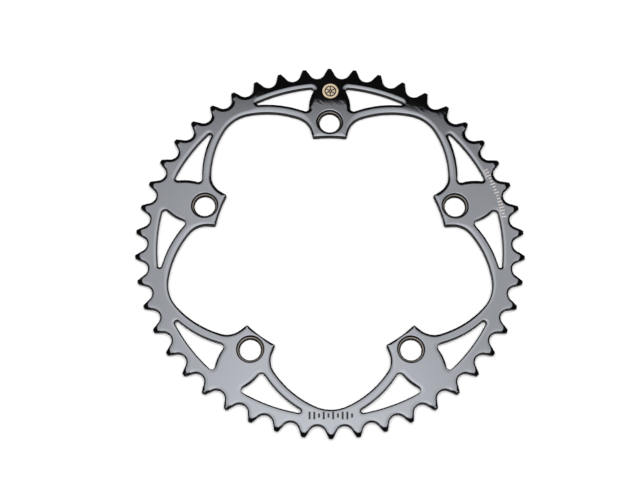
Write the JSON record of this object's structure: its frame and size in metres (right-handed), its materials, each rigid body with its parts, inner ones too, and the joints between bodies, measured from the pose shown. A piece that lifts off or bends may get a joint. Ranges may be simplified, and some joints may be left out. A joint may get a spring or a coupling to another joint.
{
  "type": "bicycle chainring",
  "caption": "Flat toothed chainring with a large lobed centre, recessed bolt tabs, slim curved arms and pairs of narrow openings inside the rim.",
  "frame": {"origin": "centre of the ring on its flat back face, which seats on the crank spider", "axes": "+Z along the ring's axis, out of the recessed front face; +Y through the first bolt tab"},
  "size_m": [0.1898, 0.1902, 0.0032],
  "materials": {
    "anodised_aluminium": "polished black anodised"
  },
  "bodies": {
    "root": {"chainring": "anodised_aluminium"}
  },
  "joints": []
}
